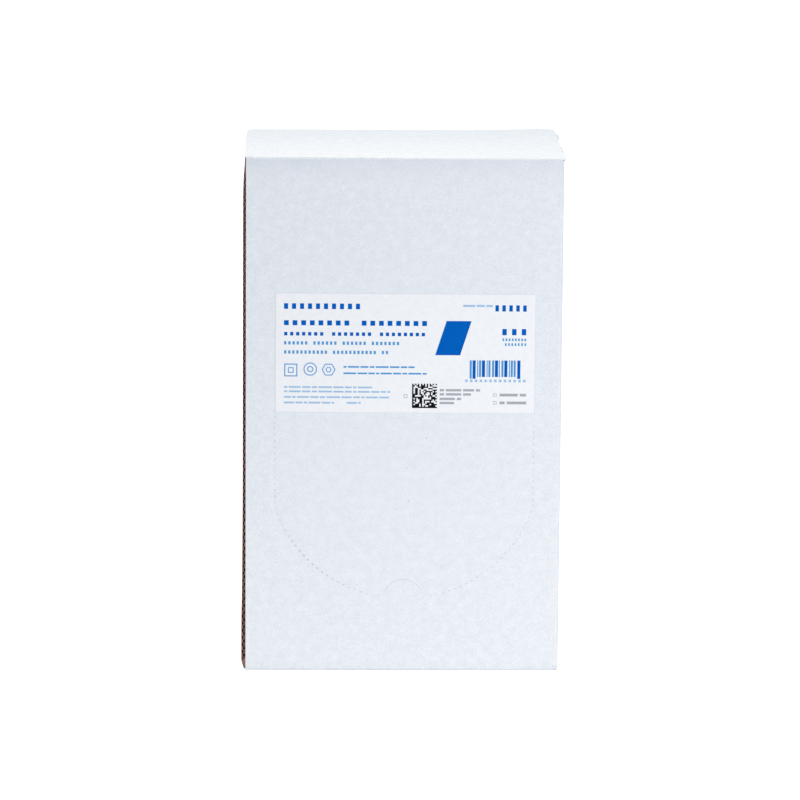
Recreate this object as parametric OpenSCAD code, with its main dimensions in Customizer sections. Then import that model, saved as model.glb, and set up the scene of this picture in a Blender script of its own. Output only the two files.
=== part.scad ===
// Sealed dispenser carton of corrugated board, with a paper label.
// The folded blank and what it holds are one closed solid. The front panel faces -Y,
// the origin is at the centre of the foot, and every size is in millimetres.

/* [Carton] */
// Width of the front panel, from fold to fold
panel_w = 150; // [130:1:220]
// Depth from the front panel to the back panel
carton_d = 90; // [60:1:140]
// Height over the top and bottom flaps
carton_h = 248; // [215:1:340]

/* [Board] */
// Thickness of the corrugated board
board_t = 1.5; // [1.2:0.1:3]
// Thickness of each flat liner sheet
liner_t = 0.22; // [0.15:0.01:0.3]
// Thickness of the waved sheet between the liners
wave_t = 0.2; // [0.15:0.01:0.3]
// Distance from one flute to the next
flute_pitch = 3.5; // [2.8:0.1:6]
// Depth of the flute hollows behind a raw edge
flute_depth = 2; // [0.6:0.1:4]
// Outer radius of every folded edge
fold_r = 1.8; // [1:0.1:3]

/* [Outer flaps] */
// Gap between the side edge of an outer flap and the outside of the side wall, at its fold
flap_side_gap = 0.2; // [0.1:0.1:1]
// How much an outer flap narrows on each side before its tapered corners
flap_draft = 0.8; // [0:0.1:1.2]
// Gap between the free edge of an outer flap and the outside of the back panel
flap_back_gap = 0.8; // [0:0.1:4]
// How much narrower an outer flap is at each corner of its free edge
flap_taper = 1.6; // [0.2:0.1:6]
// Length of the tapered stretch beside the free edge
flap_taper_len = 14; // [2:0.5:30]
// Radius of the corners of the free edge
flap_corner_r = 3; // [0.5:0.1:6]

/* [Dispensing door] */
// Distance from each upright row of cuts to the nearest fold
door_margin = 13.5; // [6:0.5:30]
// Length of each upright row of cuts
door_side_len = 45; // [15:1:70]
// Depth of the curved lower end of the door
door_bow = 45; // [12:1:54]
// Distance from one cut to the next along the row
cut_pitch = 3; // [2:0.1:6]
// Length of one cut
cut_len = 1.5; // [0.8:0.1:1.8]
// Width of one cut
cut_w = 0.3; // [0.2:0.05:0.6]
// Radius of the half-moon thumb cut
thumb_r = 9.4; // [6:0.1:14]
// Height of the ends of the thumb cut above the lowest point of the door
thumb_lift = 3.4; // [0:0.1:5]
// Distance that the rows of cuts keep from the thumb cut
thumb_clear = 1.1; // [0.5:0.1:4]

/* [Label] */
// Width of the label
label_w = 122.8; // [60:0.1:124]
// Height of the label
label_h = 57.3; // [30:0.1:70]
// Thickness of the label paper
label_t = 0.12; // [0.08:0.01:0.3]
// Corner radius of the label
label_corner_r = 1; // [0.3:0.1:4]
// Height of the lower edge of the label above the foot
label_z = 126; // [110:1:140]
// Distance from the middle of the front panel to the middle of the label
label_shift = 0.75; // [-3:0.05:3]

/* [Hidden] */
round_fn = 64;
spill = 1;

// The left wall laps outside the front panel's glue tab, so it stands one board proud of the fold.
carton_w = panel_w + board_t;
left_x = -carton_w / 2;
panel_x = left_x + board_t;
right_x = carton_w / 2;
panel_mid_x = (panel_x + right_x) / 2;
front_y = -carton_d / 2;
back_y = carton_d / 2;
wall_z = board_t;
wall_top_z = carton_h - board_t;

// The raw edge of the left wall starts where the front panel's fold ends.
raw_y = front_y + fold_r;
raw_foot_z = wall_z + fold_r;
raw_top_z = wall_top_z - fold_r;

// An outer flap is hinged on the front panel and reaches to just short of the back.
flap_x = panel_x + flap_side_gap;
flap_w = right_x - flap_side_gap - flap_x;
flap_len = carton_d - flap_back_gap;
flap_straight_len = flap_len - flap_taper_len;
flap_fluted_len = flap_straight_len - fold_r;
flap_end_in = flap_draft + flap_taper;
flap_inner_x = flap_end_in + 2 * flap_corner_r;

// The door hangs from a line under the label's lower edge.
door_half = panel_w / 2 - door_margin;
door_r = (door_half * door_half + door_bow * door_bow) / (2 * door_bow);
door_arc_z = label_z - door_side_len;
door_foot_z = door_arc_z - door_bow;
door_mid_z = door_foot_z + door_r;
door_arc_deg = acos((door_r - door_bow) / door_r);
// The rows of cuts stop beside the thumb cut.
thumb_gap_deg = asin((thumb_r + thumb_clear) / door_r);
row_len = door_side_len + (door_arc_deg - thumb_gap_deg) * PI / 180 * door_r;
row_cuts = floor(row_len / cut_pitch);

// A square notch that leaves a corner rounded, for a corner at p whose inside lies towards side.
module corner_waste(p, side, r) {
    translate(p)
        difference() {
            translate([side[0] > 0 ? -spill : -r, side[1] > 0 ? -spill : -r])
                square([r + spill, r + spill]);
            translate([side[0] * r, side[1] * r])
                circle(r, $fn = round_fn);
        }
}

// Outline of the four walls seen from above, with the step at the glued front-left corner.
module wall_outline() {
    difference() {
        union() {
            translate([panel_x, front_y])
                square([panel_w, carton_d]);
            translate([left_x, raw_y])
                square([board_t + spill, back_y - raw_y]);
        }
        corner_waste([panel_x, front_y], [1, 1], fold_r);
        corner_waste([right_x, front_y], [-1, 1], fold_r);
        corner_waste([right_x, back_y], [-1, -1], fold_r);
        corner_waste([left_x, back_y], [1, -1], fold_r);
    }
}

// Outline of the walls seen from the front: side walls roll over into the hidden dust flaps.
module wall_front_profile() {
    difference() {
        translate([left_x, wall_z])
            square([carton_w, wall_top_z - wall_z]);
        for (z = [wall_z, wall_top_z], x = [left_x, right_x])
            corner_waste([x, z], [-sign(x), z == wall_z ? 1 : -1], fold_r);
    }
}

// Outline of the walls seen from the right: the back panel rolls over into the inner flaps.
module back_profile() {
    difference() {
        translate([front_y, wall_z])
            square([carton_d, wall_top_z - wall_z]);
        corner_waste([back_y, wall_z], [-1, 1], fold_r);
        corner_waste([back_y, wall_top_z], [-1, -1], fold_r);
    }
}

// Outline seen from the right that rounds the folds between the front panel and both outer flaps.
module fold_profile() {
    difference() {
        translate([front_y, 0])
            square([carton_d + spill, carton_h]);
        corner_waste([front_y, 0], [1, 1], fold_r);
        corner_waste([front_y, carton_h], [1, -1], fold_r);
    }
}

// Turns a profile drawn in Y and Z and sweeps it over the carton's width.
module sweep_x(x, w) {
    translate([x, 0, 0])
        rotate([90, 0, 90])
            linear_extrude(w)
                children();
}

// Turns a profile drawn in X and Z and sweeps it from y towards the back.
module sweep_y(y, d) {
    translate([0, y + d, 0])
        rotate([90, 0, 0])
            linear_extrude(d)
                children();
}

// The side and back walls, with rounded shoulders where they roll over under the outer flaps.
module walls() {
    intersection() {
        translate([0, 0, wall_z])
            linear_extrude(wall_top_z - wall_z)
                wall_outline();
        sweep_y(front_y + board_t, carton_d)
            wall_front_profile();
        sweep_x(left_x - spill, carton_w + 2 * spill)
            back_profile();
    }
}

// The front panel alone reaches the full height, fold to fold.
module front_panel() {
    linear_extrude(carton_h)
        intersection() {
            wall_outline();
            translate([panel_x, front_y])
                square([panel_w, fold_r]);
        }
}

// The hidden stack of folded flaps and contents, which ties both outer flaps to the walls.
module core() {
    translate([flap_x + flap_inner_x, front_y + board_t, 0])
        cube([flap_w - 2 * flap_inner_x, flap_straight_len - 2 * board_t, carton_h]);
}

// Outline of an outer flap, from its fold at the front to its tapered free edge.
module flap_outline() {
    difference() {
        translate([flap_x, front_y])
            polygon([
                [0, 0], [flap_w, 0],
                [flap_w - flap_draft, flap_straight_len], [flap_w - flap_end_in, flap_len],
                [flap_end_in, flap_len], [flap_draft, flap_straight_len]
            ]);
        corner_waste([flap_x + flap_end_in, front_y + flap_len], [1, -1], flap_corner_r);
        corner_waste([flap_x + flap_w - flap_end_in, front_y + flap_len], [-1, -1], flap_corner_r);
    }
}

// One hollow between the waved sheet and a liner, drawn along a raw edge.
// The wave is a cosine; the hollow opens towards the liner on the side given by up.
module flute_hollow(up) {
    swing = board_t / 2 - liner_t - wave_t / 2;
    shape = [
        for (t = [0.12, 0.37, 0.63, 0.88])
            [t * flute_pitch, up * (wave_t / 2 + swing * cos(360 * t))]
    ];
    liner = up * (board_t / 2 - liner_t);
    polygon(concat([[0.12 * flute_pitch, liner]], shape, [[0.88 * flute_pitch, liner]]));
}

// A row of hollows centred on a stretch of raw edge, half a wave apart on its two sides.
module flute_row(len) {
    waves = floor(len / flute_pitch - 0.5);
    start = (len - (waves + 0.5) * flute_pitch) / 2;
    for (i = [0 : waves - 1]) {
        translate([start + i * flute_pitch, 0])
            flute_hollow(1);
        translate([start + (i + 0.5) * flute_pitch, 0])
            flute_hollow(-1);
    }
}

// Flute hollows in the left wall's upright raw edge.
module wall_flutes() {
    sweep_y(raw_y - spill, flute_depth + spill)
        translate([left_x + board_t / 2, raw_foot_z])
            rotate(90)
                flute_row(raw_top_z - raw_foot_z);
}

// Flute hollows in both side edges of one outer flap, and the open flute along its free edge.
module flap_flutes(z) {
    for (x = [flap_x - spill, flap_x + flap_w - flute_depth])
        sweep_x(x, flute_depth + spill)
            translate([front_y + fold_r, z + board_t / 2])
                flute_row(flap_fluted_len);
    translate([flap_x + flap_inner_x, front_y + flap_len - flute_depth / 2, z + liner_t])
        cube([flap_w - 2 * flap_inner_x, flute_depth / 2 + spill, board_t - 2 * liner_t]);
}

// One cut through the front panel, lying along the row that the turn gives.
module door_cut(x, z, turn) {
    translate([x, front_y + board_t / 2, z])
        rotate([0, turn, 0])
            cube([cut_w, board_t + spill, cut_len], center = true);
}

// The two mirrored rows of cuts: straight down from the label, then round the lower end.
module door_cuts() {
    for (side = [-1, 1], i = [0 : row_cuts - 1]) {
        s = (i + 0.5) * cut_pitch;
        deg = door_arc_deg - max(0, s - door_side_len) / door_r * 180 / PI;
        if (s < door_side_len)
            door_cut(panel_mid_x + side * door_half, label_z - s, 0);
        else
            door_cut(panel_mid_x + side * door_r * sin(deg), door_mid_z - door_r * cos(deg), side * (90 - deg));
    }
}

// The half-moon cut that frees a thumb tab at the foot of the door.
module thumb_cut() {
    sweep_y(front_y - spill, board_t + spill)
        translate([panel_mid_x, door_foot_z])
            difference() {
                circle(thumb_r + cut_w / 2, $fn = round_fn);
                circle(thumb_r - cut_w / 2, $fn = round_fn);
                translate([-thumb_r - spill, -thumb_r - spill])
                    square([2 * (thumb_r + spill), thumb_r + spill + thumb_lift]);
            }
}

module carton() {
    color("white")
        difference() {
            intersection() {
                union() {
                    walls();
                    front_panel();
                    core();
                    for (z = [0, wall_top_z])
                        translate([0, 0, z])
                            linear_extrude(board_t)
                                flap_outline();
                }
                sweep_x(left_x - spill, carton_w + 2 * spill)
                    fold_profile();
            }
            wall_flutes();
            flap_flutes(0);
            flap_flutes(wall_top_z);
            door_cuts();
            thumb_cut();
        }
}

module label() {
    color("ghostwhite")
        sweep_y(front_y - label_t, label_t)
            translate([panel_mid_x + label_shift - label_w / 2, label_z])
                difference() {
                    square([label_w, label_h]);
                    for (x = [0, label_w], z = [0, label_h])
                        corner_waste([x, z], [x > 0 ? -1 : 1, z > 0 ? -1 : 1], label_corner_r);
                }
}

carton();
label();
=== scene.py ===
# %% [markdown]
# # A sealed dispenser carton in white-topped corrugated board
#
# The carton is one blank of thin corrugated board. It is folded round into a tube, glued along
# the front left corner, and closed at both ends by flaps that hinge on the front panel. A paper
# label sits on the front, and a row of knife cuts round a door lets somebody tear it open.
#
# A box could be drawn as six flat faces, but then nothing would say paper. What tells the eye
# that this is board is at its edges: folds with a small radius, a raw edge where the waved sheet
# shows between two liners, and panels that bow a little over what they hold. So each layer that
# can be seen is a real surface here, and one function bends them all together.

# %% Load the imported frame
from math import pi, radians

import bpy
import numpy as np
from mathutils import Matrix, Vector


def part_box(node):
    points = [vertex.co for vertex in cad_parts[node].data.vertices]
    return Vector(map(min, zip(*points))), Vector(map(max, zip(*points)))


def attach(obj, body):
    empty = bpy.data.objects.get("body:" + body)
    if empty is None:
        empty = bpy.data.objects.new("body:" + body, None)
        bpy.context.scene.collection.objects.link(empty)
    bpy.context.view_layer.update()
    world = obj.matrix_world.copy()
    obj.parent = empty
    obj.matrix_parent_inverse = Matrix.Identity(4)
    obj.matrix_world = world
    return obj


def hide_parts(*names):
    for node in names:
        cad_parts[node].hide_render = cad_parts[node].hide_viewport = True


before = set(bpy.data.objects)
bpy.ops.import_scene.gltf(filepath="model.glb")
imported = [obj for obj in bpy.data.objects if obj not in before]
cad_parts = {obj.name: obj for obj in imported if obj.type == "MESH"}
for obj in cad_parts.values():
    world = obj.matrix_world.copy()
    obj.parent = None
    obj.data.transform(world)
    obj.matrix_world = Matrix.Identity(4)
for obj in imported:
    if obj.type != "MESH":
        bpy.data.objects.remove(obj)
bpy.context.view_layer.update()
print("frame nodes:", sorted(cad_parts))

# %% [markdown]
# ## Sizes
#
# Shapes are worked out in millimetres, because board is specified that way, and each mesh is
# turned to metres once, when it is made. The overall sizes come from the frame. The sizes of the
# board itself are those of a fine corrugated grade with a wave every 3.5 mm.

# %% Sizes in millimetres
MM = 0.001


def corners_mm(node):
    """Lowest and highest corner of a node of the frame, in millimetres."""
    low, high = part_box(node)
    return np.array(low) / MM, np.array(high) / MM


(left, front, foot), (right, back, top) = corners_mm("carton")
label_low, label_high = corners_mm("label")

board = 1.5             # thickness of the corrugated board
liner = 0.25            # thickness of each flat facing
sheet_thickness = 0.24  # thickness of the waved middle sheet
flute_pitch = 3.5       # distance from one wave to the next
fold = 1.8              # outer radius of an upright fold
glued_fold = 0.9        # the fold beside the glued joint is pressed sharper
hair = 0.01             # allowance where a place is compared with a limit

panel_left = left + board            # the front panel starts beside the raw edge
panel_mid = (panel_left + right) / 2
raw_edge = front + glued_fold        # where the left wall stops
wall_top = top - board               # the walls end under the top flap
wall_foot = foot + board
mid_height = (foot + top) / 2
half_width = (right - left) / 2
half_depth = (back - front) / 2
wave_swing = board / 2 - liner - sheet_thickness / 2

print(f"carton {right - left:.1f} x {back - front:.1f} x {top - foot:.1f} mm")

# %% [markdown]
# ## Grids, slabs and pieces
#
# Every surface here is a grid of points worked out from two parameters, with rows and columns.
# Two such grids a little way apart, sewn together round their rims, make a closed slab. That is
# just what a sheet of paper is, so most pieces are slabs.

# %% Smooth steps, lines and arcs
def smooth_step(value, low, high):
    """0 up to low and 1 from high, with the smooth curve 3t² - 2t³ between them."""
    t = np.clip((value - low) / (high - low), 0, 1)
    return t * t * (3 - 2 * t)


def eased(count):
    """Steps from 0 to 1 that crowd towards both ends: half of 1 - cos(pi t)."""
    return (1 - np.cos(pi * np.linspace(0, 1, count))) / 2


def line(start, end, count):
    """Points from start to end, crowded towards both ends so that folds keep their shading."""
    t = eased(count)[:, None]
    return (1 - t) * np.array(start) + t * np.array(end)


def arc(centre, radius, first_deg, last_deg, count):
    """Points on a circle: centre plus radius times (cos a, sin a), as a goes between two angles."""
    a = np.radians(np.linspace(first_deg, last_deg, count))
    return np.array(centre) + radius * np.stack([np.cos(a), np.sin(a)], axis=1)


# %% Faces of a grid and of a slab
def grid_faces(rows, columns, ring=False):
    """Four-sided faces of a grid numbered row by row. A ring joins its last column to its first."""
    row = np.arange(rows - 1)[:, None]
    column = np.arange(columns if ring else columns - 1)[None, :]
    here = row * columns + column
    beside = row * columns + (column + 1) % columns
    return np.stack([here, beside, beside + columns, here + columns], axis=-1).reshape(-1, 4)


def slab(outer, inner):
    """Points and faces of a closed sheet between two grids, sewn together round their rims.

    The outer grid's columns run to the right and its rows run up, as seen from outside.
    """
    rows, columns = outer.shape[:2]
    count = rows * columns
    number = np.arange(count).reshape(rows, columns)
    rim = np.concatenate([number[0, :-1], number[:-1, -1], number[-1, :0:-1], number[:0:-1, 0]])
    after = np.roll(rim, -1)
    skin = grid_faces(rows, columns)
    sewn = np.stack([after, rim, rim + count, after + count], axis=1)
    points = np.concatenate([outer.reshape(-1, 3), inner.reshape(-1, 3)])
    return points, np.concatenate([skin, skin[:, ::-1] + count, sewn])


def together(parts):
    """Several (points, faces) joined into one, with the faces renumbered."""
    starts = np.cumsum([0] + [len(points) for points, _ in parts[:-1]])
    faces = [face + start for (_, face), start in zip(parts, starts)]
    return np.concatenate([points for points, _ in parts]), np.concatenate(faces)


# %% [markdown]
# ## How the filled carton has moved
#
# A carton that is filled, glued and handled is never as true as its drawing. The panels bow out
# by half a millimetre or so, the free edge of the top flap rides up over the flaps beneath it, its
# corners droop, and the raw edge is pinched where the glued joint and the end flaps pull on it.
# Moving every piece through one smooth function keeps the layers together, which moving each one
# by hand would not.

# %% One function that bends everything
front_bow = 0.35        # how far the front and back panels bow out
side_bow = 0.8          # how far the right panel bows out
glued_side_bow = 0.25   # how far the left panel, which carries the glued joint, bows out
joint_pinch = 0.2       # share of the board's thickness that the glued joint takes out
foot_swell = 0.2        # the share that comes back near the foot
foot_pinch = 0.85       # and the share that is pinched out at the foot itself
top_pull = (0.22, 0.5)  # share that the top flap takes out at the front, and what is added to it at the back
fold_pull = 0.36        # share more that it takes out in the last millimetres
joint_gap = 0.22        # how far the front panel's end stands off the raw edge in the glued joint
liner_reach = 0.3       # what lies this close to the top is the flap's liner, which the joint leaves alone
top_reach = 12          # the top's shape fades out this far down the walls
even_ride = 0.08        # how far the flap's free edge rides up all along
right_ride = 0.8        # and how far more on the right
corner_droop = 0.4      # how far the flap's free corner drops on the right
left_droop = 0.3        # share of that drop on the left
fold_lift = 0.25        # how far the top fold stands up all along, and as much again at its left end
corner_lift = 0.45      # how far its left corner stands up beyond that
lifted_depth = 9        # the lift fades out this far behind the fold
crease_dip = 0.1        # depth of the faint slanted crease on the top
crease_y, crease_slant, crease_half_width = 6.5, 0.1, 1.3


def left_wall_pull(y, z):
    """Share of the board's thickness by which the left wall is pulled in towards the front panel.

    The glued joint pinches the raw edge a little all the way up. Under the top flap the wall is
    pulled in along its whole depth, and near the foot it swells and is then pinched again.
    """
    beside_raw_edge = 1 - smooth_step(y, raw_edge + 8, raw_edge + 45)
    pulled_top = (top_pull[0] + top_pull[1] * smooth_step(y, -40, 40)) * smooth_step(z, top - 20, top - 8)
    pulled_top = pulled_top + fold_pull * smooth_step(z, top - 10, top - 2)
    glued = joint_pinch * smooth_step(z, 30, 100)
    swollen_foot = foot_swell * smooth_step(-z, -45, -22)
    pinched_foot = foot_pinch * smooth_step(-z, -5, 0)
    return pulled_top + (glued - swollen_foot + pinched_foot) * beside_raw_edge


def soften(points):
    """Every point of the carton after filling and handling, from its place in the drawing.

    Each effect is a product of smooth steps and of parabolas, a sine or a bell curve, so no seam
    opens between pieces.
    """
    x, y, z = points[..., 0], points[..., 1], points[..., 2]
    across = (x - panel_mid) / half_width
    through = y / half_depth
    upright = np.sin(pi * np.clip((z - foot) / (top - foot), 0, 1))

    moved_y = y + front_bow * through * np.clip(1 - across ** 2, 0, 1) * upright
    bow = np.where(across > 0, side_bow, glued_side_bow)
    moved_x = x + bow * across * np.clip(1 - through ** 2, 0, 1) * upright

    under_liner = z < top - liner_reach
    beyond_panel = np.clip(panel_left - x, 0, board)
    at_joint = smooth_step(x, left, panel_left) * (1 - smooth_step(x, panel_left, panel_left + board))
    moved_x = moved_x + under_liner * (beyond_panel * left_wall_pull(y, z) + joint_gap * at_joint)

    on_top = smooth_step(z, top - top_reach, top - 1)
    ride = (even_ride + right_ride * smooth_step(x, 30, 75)) * smooth_step(y, -10, 45)
    at_sides = smooth_step(x, right - 5, right - 1) + left_droop * smooth_step(-x, right - 4, right - 1)
    droop = corner_droop * at_sides * smooth_step(y, 32, 44)
    lift = fold_lift * (1 + smooth_step(-x, -20, 45)) + corner_lift * smooth_step(-x, 68, 76)
    lift = lift * (1 - smooth_step(y, front, front + lifted_depth))
    off_crease = (y - crease_y + crease_slant * x) / crease_half_width
    crease = crease_dip * np.exp(-off_crease ** 2) * smooth_step(-x, -30, 0) * smooth_step(x, -72, -60)
    moved_z = z + on_top * (ride + lift - droop - crease)
    return np.stack([moved_x, moved_y, moved_z], axis=-1)


# %% Make a piece
def piece(name, shape, materials, stands_for=None, material_of_face=None, sharp_deg=40):
    """A mesh in metres from (points, faces) in millimetres, bent, shaded and riding on the carton."""
    points, faces = shape
    mesh = bpy.data.meshes.new(name)
    mesh.from_pydata((soften(points) * MM).tolist(), [], [list(face) for face in faces])
    for material in materials:
        mesh.materials.append(material)
    if material_of_face is not None:
        mesh.polygons.foreach_set("material_index", np.asarray(material_of_face, np.int32))
    mesh.shade_smooth()
    mesh.set_sharp_from_angle(angle=radians(sharp_deg))
    mesh.update()
    made = bpy.data.objects.new(name, mesh)
    bpy.context.scene.collection.objects.link(made)
    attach(made, "root")
    if stands_for:
        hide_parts(stands_for)
    print(f"{name}: {len(points)} points, {len(faces)} faces")
    return made


# %% [markdown]
# ## Colour and nodes
#
# Colours are written as the hex values that a swatch book would give, and one function turns
# them to the linear numbers that the renderer adds and multiplies. One more function adds a node,
# sets its sockets and links it, so that each material reads as a short list of layers. A Map Range
# turns a noise into a mask from 0 to 1, and a Mix lays one colour over another through a mask.

# %% Helpers for materials
def linear(hex_colour):
    """sRGB hex to linear red, green, blue and alpha: ((c + 0.055) / 1.055) to the power 2.4."""
    channels = [int(hex_colour[i : i + 2], 16) / 255 for i in (1, 3, 5)]
    return [c / 12.92 if c <= 0.04045 else ((c + 0.055) / 1.055) ** 2.4 for c in channels] + [1]


def add_node(tree, kind, settings=None, **inputs):
    """Adds a node, sets its properties, and fills or links its inputs.

    An input goes by its name, with _ for a space, or by _ and its number. A socket is linked, and
    so is a node, from the first of its outputs that is in use. Anything else is the input's value.
    """
    node = tree.nodes.new(kind)
    for key, value in (settings or {}).items():
        setattr(node, key, value)
    for key, value in inputs.items():
        socket = node.inputs[int(key[1:])] if key[0] == "_" else node.inputs[key.replace("_", " ")]
        if isinstance(value, bpy.types.Node):
            value = next(output for output in value.outputs if output.enabled)
        if isinstance(value, bpy.types.NodeSocket):
            tree.links.new(value, socket)
        else:
            socket.default_value = value
    return node


def new_material(name):
    """A material with an empty node tree."""
    material = bpy.data.materials.new(name)
    material.use_nodes = True
    material.node_tree.nodes.clear()
    return material, material.node_tree


def per_mm(size_mm):
    """Scale of a noise whose cells are about this many millimetres across."""
    return 1 / (size_mm * MM)


of_colours = {"data_type": "RGBA"}       # for a Mix: inputs 0, 6 and 7 are the mask and the two colours
of_product = {"operation": "MULTIPLY"}   # for a Math node
of_sum = {"operation": "MULTIPLY_ADD"}   # for a Math node: the first times the second, plus the third

# %% [markdown]
# ## White-topped liner
#
# The outside of the board is a brown sheet with a thin bleached layer on top. The brown shows
# through a little where the bleached layer is thin, so the white is cool and slightly cloudy,
# with clouds a few millimetres across, finer fibre grain, and now and then a dark or a reddish
# speck of bark or ink. It is uncoated, so it is matt. The waved sheet underneath prints through
# as a very faint washboard, one ripple for each flute. Along the top fold of the front a painted
# shade, greyer and uneven, stands for the shadow under the bead and fades out within 16 mm.

# %% Material: white-topped kraft liner, uncoated
def make_white_liner(name, tint=None):
    """Matt bleached board: clouds, grain, specks, painted shade under the fold and a faint washboard bump.

    tint may lay one more colour over the board before the painted fold shade.
    """
    material, tree = new_material(name)
    place = add_node(tree, "ShaderNodeTexCoord").outputs["Object"]
    noises = {  # size in mm, detail, roughness, distortion, and the values that the mask has as 0 and 1
        "clouds": (4.5, 3, 0.6, 0.0, 0.32, 0.68),
        "grain": (0.72, 2, 0.6, 0.0, 0.27, 0.73),
        "dark_specks": (0.9, 0, 0.6, 0.0, 0.87, 0.91),
        "red_specks": (1.3, 0, 0.5, 0.4, 0.89, 0.93),
        "fold_shade_unevenness": (9.0, 3, 0.6, 0.0, 0.15, 0.65),
    }
    masks = {}
    for layer, (size_mm, detail, rough, bent, low, high) in noises.items():
        noise = add_node(tree, "ShaderNodeTexNoise", None, Vector=place, Scale=per_mm(size_mm),
                         Detail=detail, Roughness=rough, Distortion=bent)
        masks[layer] = add_node(tree, "ShaderNodeMapRange", None, Value=noise, From_Min=low, From_Max=high)

    part_grain = add_node(tree, "ShaderNodeMath", of_product, _0=masks["grain"], _1=0.68)
    mottle = add_node(tree, "ShaderNodeMath", of_sum, _0=masks["clouds"], _1=0.32, _2=part_grain)
    dark, light = linear("#DCE3EC"), linear("#F1F6FD")
    colour = add_node(tree, "ShaderNodeMix", of_colours, _0=mottle, _6=dark, _7=light)
    for specks, shade in (("dark_specks", "#A9A7AE"), ("red_specks", "#E0D7DA")):
        colour = add_node(tree, "ShaderNodeMix", of_colours, _0=masks[specks], _6=colour, _7=linear(shade))
    if tint is not None:
        colour = tint(tree, colour)

    # Painted shade: the front is made greyer, unevenly, just under the top fold, where the bead's shadow
    # falls.
    apart = add_node(tree, "ShaderNodeSeparateXYZ", None, _0=place)
    under_fold = ("Z", top - 16, top - 1.4)
    below_bead = ("Z", top - 0.2, top - 0.9)
    on_front = ("Y", front + 3, front + 1)
    painted_fold_shade = add_node(tree, "ShaderNodeMath", of_product, _0=masks["fold_shade_unevenness"], _1=0.5)
    # under_fold counts twice, so that the shade falls off as a square
    for axis, none, full in (under_fold, under_fold, below_bead, on_front):
        mask = add_node(tree, "ShaderNodeMapRange", None, Value=apart.outputs[axis],
                        From_Min=none * MM, From_Max=full * MM)
        painted_fold_shade = add_node(tree, "ShaderNodeMath", of_product, _0=painted_fold_shade, _1=mask)
    colour = add_node(tree, "ShaderNodeMix", of_colours, _0=painted_fold_shade, _6=colour, _7=linear("#D0D7E5"))

    band_scale = 2 * pi / 20    # a Wave Texture of this scale has one band in each unit of length
    ripple = add_node(tree, "ShaderNodeTexWave", {"bands_direction": "Z", "wave_profile": "SIN"},
                      Vector=place, Scale=band_scale / (flute_pitch * MM), Distortion=0.0, Detail=0.0)
    fibres = add_node(tree, "ShaderNodeTexNoise", None,
                      Vector=place, Scale=per_mm(0.6), Detail=3, Roughness=0.7)
    relief = add_node(tree, "ShaderNodeMath", of_sum, _0=ripple.outputs["Fac"], _1=0.5, _2=fibres)
    bump = add_node(tree, "ShaderNodeBump", None, Strength=0.35, Distance=0.03 * MM, Height=relief)
    shader = add_node(tree, "ShaderNodeBsdfPrincipled", None,
                      Base_Color=colour, Normal=bump, Roughness=0.85, Specular_IOR_Level=0.3)
    add_node(tree, "ShaderNodeOutputMaterial", None, Surface=shader)
    return material


white_liner = make_white_liner("white_topped_liner")
print("white liner ready")

# %% [markdown]
# ## Brown kraft
#
# Everything inside the board is unbleached: the waved sheet, the inner liner and every cut edge.
# It is a warm mid brown with streaky fibres, rougher than the outside, and paler where a knife
# has cut it and its fibres stand up, and that paleness is partly painted light on faces that look
# out of the board. Inside, the kraft is painted darker as shade for the flutes' hollows, so deep in
# a flute it goes nearly black, from the real hollows and this painted shade together.

# %% Material: unbleached kraft fluting medium
def make_kraft(name, dark, light):
    """Matt brown paper with fibre streaks about 1.7 mm long and 0.5 mm wide."""
    material, tree = new_material(name)
    place = add_node(tree, "ShaderNodeTexCoord").outputs["Object"]
    streaks = add_node(tree, "ShaderNodeMapping", None, Vector=place, Scale=(0.3, 0.3, 1.0))
    fibres = add_node(tree, "ShaderNodeTexNoise", None,
                      Vector=streaks, Scale=per_mm(0.5), Detail=3, Roughness=0.65)
    mask = add_node(tree, "ShaderNodeMapRange", None, Value=fibres, From_Min=0.3, From_Max=0.7)
    colour = add_node(tree, "ShaderNodeMix", of_colours, _0=mask, _6=linear(dark), _7=linear(light))
    bump = add_node(tree, "ShaderNodeBump", None, Strength=0.5, Distance=0.05 * MM, Height=fibres)
    shader = add_node(tree, "ShaderNodeBsdfPrincipled", None,
                      Base_Color=colour, Normal=bump, Roughness=0.95, Specular_IOR_Level=0.2)
    add_node(tree, "ShaderNodeOutputMaterial", None, Surface=shader)
    return material


# Painted shade and light: the dark kraft stands for shade inside the board, and the paler cut kraft is partly
# painted light on faces that look out.
shaded_kraft = make_kraft("kraft_with_painted_shade", "#48302A", "#6B4A40")
cut_and_lit_kraft = make_kraft("kraft_cut_edge_and_painted_light", "#8F675A", "#BE9788")
print("kraft ready")

# %% [markdown]
# ## Label paper and inks
#
# The label is machine-coated paper on a permanent adhesive: smoother, whiter and a little
# shinier than the board. It is printed in one blue and in black. Small type is a mesh of thin
# strokes with paper between them, so from any distance it reads as a paler tone of the same ink,
# and the thin lines get that tone directly.

# %% Materials: coated label paper and printed inks
def make_coated_paper(name, light, dark, cloud_mm, roughness, shine=0.1):
    """Smooth coated paper or a film of ink on it: a slight cloud in the colour and almost no relief."""
    material, tree = new_material(name)
    place = add_node(tree, "ShaderNodeTexCoord").outputs["Object"]
    clouds = add_node(tree, "ShaderNodeTexNoise", None,
                      Vector=place, Scale=per_mm(cloud_mm), Detail=3, Roughness=0.6)
    mask = add_node(tree, "ShaderNodeMapRange", None, Value=clouds, From_Min=0.3, From_Max=0.7)
    colour = add_node(tree, "ShaderNodeMix", of_colours, _0=mask, _6=linear(dark), _7=linear(light))
    bump = add_node(tree, "ShaderNodeBump", None, Strength=0.15, Distance=0.01 * MM, Height=clouds)
    shader = add_node(tree, "ShaderNodeBsdfPrincipled", None,
                      Base_Color=colour, Normal=bump, Roughness=roughness, Specular_IOR_Level=shine)
    add_node(tree, "ShaderNodeOutputMaterial", None, Surface=shader)
    return material


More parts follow.
